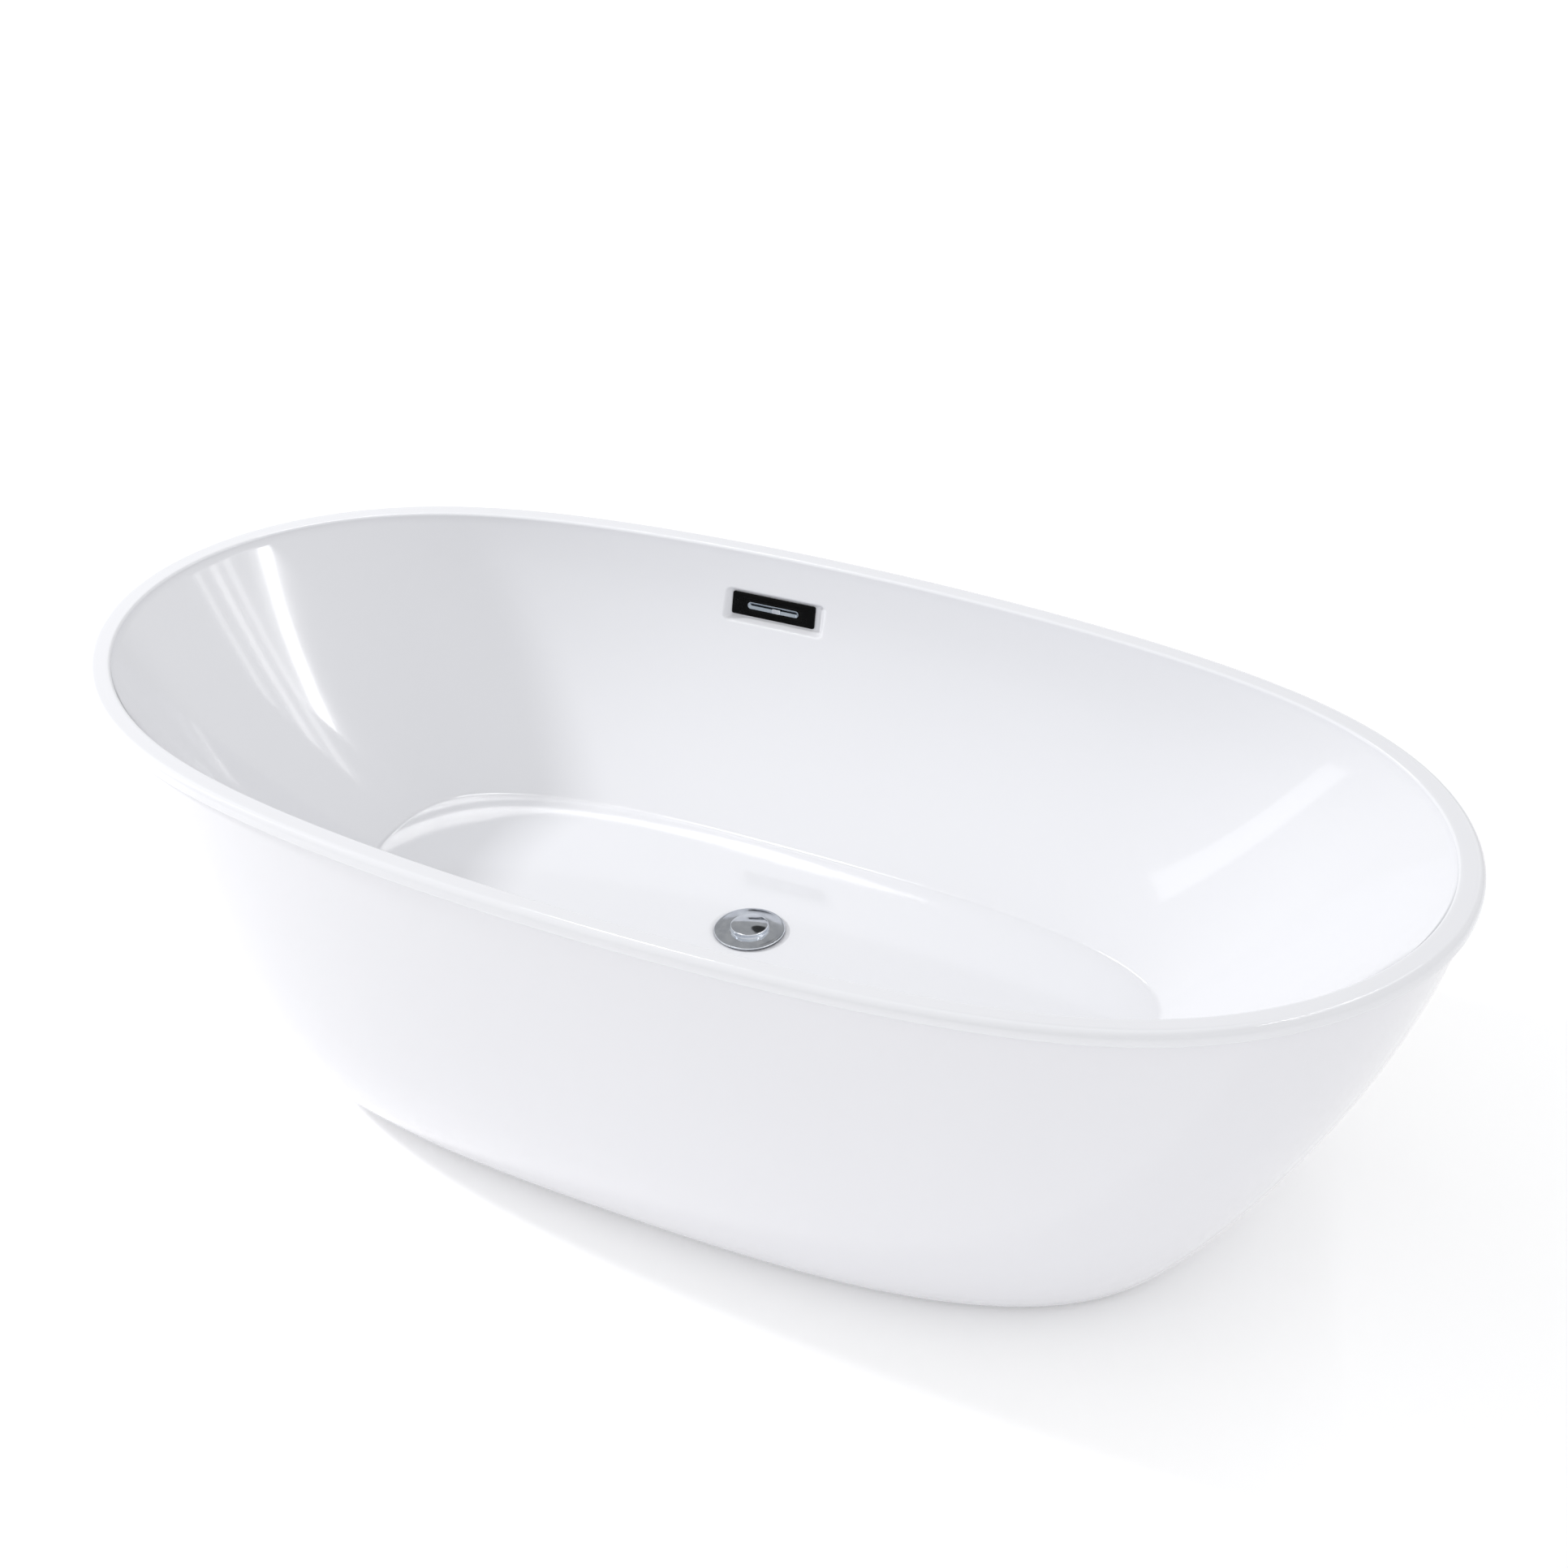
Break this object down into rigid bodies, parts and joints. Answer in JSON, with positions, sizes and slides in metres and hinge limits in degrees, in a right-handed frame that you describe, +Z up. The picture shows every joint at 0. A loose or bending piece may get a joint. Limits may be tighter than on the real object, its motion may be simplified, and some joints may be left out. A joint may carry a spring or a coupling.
{
  "type": "freestanding bathtub",
  "caption": "Oval freestanding bathtub with a double wall and flat rounded rim, slot overflow, pop-up drain, and a steel frame on levelling feet under its skirt.",
  "frame": {"origin": "on the floor, below the middle of the tub, at the bottom centre of its box", "axes": "+X along the tub, +Y towards the overflow wall, +Z up"},
  "size_m": [1.7, 0.82, 0.5],
  "materials": {
    "acrylic_white": "high gloss",
    "acrylic_white_skirt": "high gloss",
    "glass_fibre": "rough resin",
    "plywood": "bare",
    "frame_paint": "satin",
    "zinc_steel": "zinc plated",
    "spring_steel": "satin",
    "black_gloss": "high gloss",
    "chrome": "polished",
    "rubber_black": "matte",
    "pipe_plastic": "satin",
    "nut_plastic": "satin",
    "brass": "turned"
  },
  "bodies": {
    "tub": {"base_board": "plywood", "basin_shell": "acrylic_white", "board_screws": "zinc_steel", "click_cartridge": "brass", "cross_rail_1": "frame_paint", "cross_rail_2": "frame_paint", "cross_rail_3": "frame_paint", "drain_body": "pipe_plastic", "drain_flange": "chrome", "drain_gasket_lower": "rubber_black", "drain_gasket_upper": "rubber_black", "floor_layer": "glass_fibre", "foot_nuts_1": "zinc_steel", "foot_nuts_2": "zinc_steel", "foot_nuts_3": "zinc_steel", "foot_nuts_4": "zinc_steel", "foot_nuts_5": "zinc_steel", "glue_blocks": "plywood", "outer_skirt": "acrylic_white_skirt", "outlet_nut": "nut_plastic", "outlet_tail": "pipe_plastic", "overflow_body": "pipe_plastic", "overflow_gasket": "rubber_black", "overflow_nut_lower": "nut_plastic", "overflow_nut_upper": "nut_plastic", "overflow_pipe": "pipe_plastic", "overflow_plate": "black_gloss", "overflow_screw": "chrome", "overflow_slot_trim": "chrome", "plug_spring": "spring_steel", "rim_stiffener": "glass_fibre", "side_rail_1": "frame_paint", "side_rail_2": "frame_paint", "skirt_brackets": "zinc_steel"},
    "plug": {"plug_cap": "chrome", "plug_seal": "rubber_black", "plug_stem": "brass"},
    "foot_1": {"foot_stud_1": "zinc_steel", "foot_pad_1": "rubber_black"},
    "foot_2": {"foot_stud_2": "zinc_steel", "foot_pad_2": "rubber_black"},
    "foot_3": {"foot_stud_3": "zinc_steel", "foot_pad_3": "rubber_black"},
    "foot_4": {"foot_stud_4": "zinc_steel", "foot_pad_4": "rubber_black"},
    "foot_5": {"foot_stud_5": "zinc_steel", "foot_pad_5": "rubber_black"}
  },
  "joints": [
    {"name": "plug_lift", "type": "slide", "parent": "tub", "child": "plug", "axis": [0, 0, 1], "range_m": [0, 0.006], "deforming": ["plug_spring"]},
    {"name": "foot_1_height", "type": "slide", "parent": "tub", "child": "foot_1", "axis": [0, 0, 1], "range_m": [-0.015, 0.01]},
    {"name": "foot_2_height", "type": "slide", "parent": "tub", "child": "foot_2", "axis": [0, 0, 1], "range_m": [-0.015, 0.01]},
    {"name": "foot_3_height", "type": "slide", "parent": "tub", "child": "foot_3", "axis": [0, 0, 1], "range_m": [-0.015, 0.01]},
    {"name": "foot_4_height", "type": "slide", "parent": "tub", "child": "foot_4", "axis": [0, 0, 1], "range_m": [-0.015, 0.01]},
    {"name": "foot_5_height", "type": "slide", "parent": "tub", "child": "foot_5", "axis": [0, 0, 1], "range_m": [-0.015, 0.01]}
  ]
}
